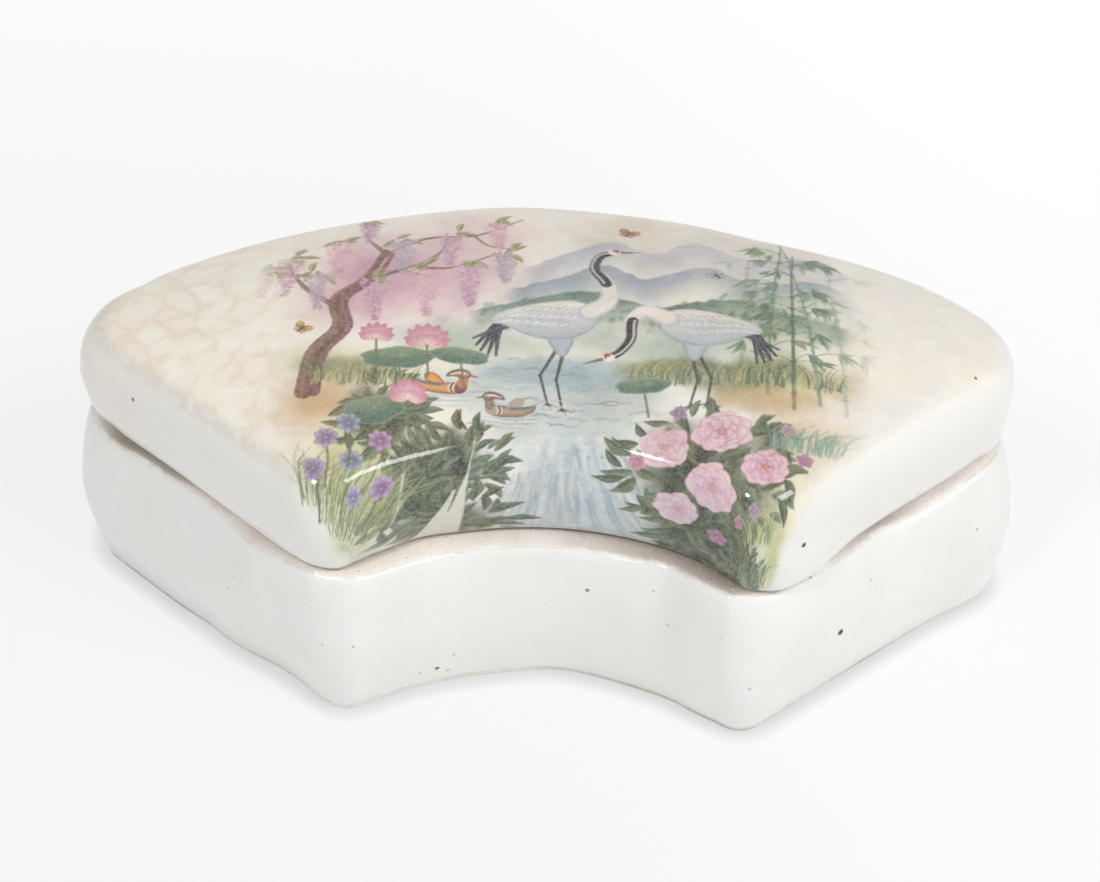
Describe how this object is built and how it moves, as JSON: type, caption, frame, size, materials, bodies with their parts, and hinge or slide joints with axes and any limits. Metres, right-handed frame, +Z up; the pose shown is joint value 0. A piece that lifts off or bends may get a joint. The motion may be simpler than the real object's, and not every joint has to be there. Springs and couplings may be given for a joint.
{
  "type": "seal paste box",
  "caption": "Fan-shaped glazed porcelain box with a lift-off cushion lid, a raised inner collar and a bed of red seal paste.",
  "frame": {"origin": "middle of the overall bounding box in plan, at the plane of the foot ring", "axes": "+Z up, +X along the fan's chord, +Y towards the long outer arc, so the hollow inner arc faces -Y"},
  "size_m": [0.1104, 0.0564, 0.0381],
  "materials": {
    "body_porcelain": "clear glossy glaze with a faint grey-green tint, bare matt clay on the ledge, the collar and the foot ring",
    "red_paste": "oily fibrous vermilion paste with a soft sheen",
    "lid_porcelain": "clear glossy glaze with fine tan crackle, ivory on top, and a printed colour landscape"
  },
  "bodies": {
    "box": {"box_body": "body_porcelain", "seal_paste": "red_paste"},
    "lid": {"lid": "lid_porcelain"}
  },
  "joints": [
    {"name": "lid_lift", "type": "slide", "parent": "box", "child": "lid", "axis": [0, 0, 1], "range_m": [0, 0.06]}
  ]
}
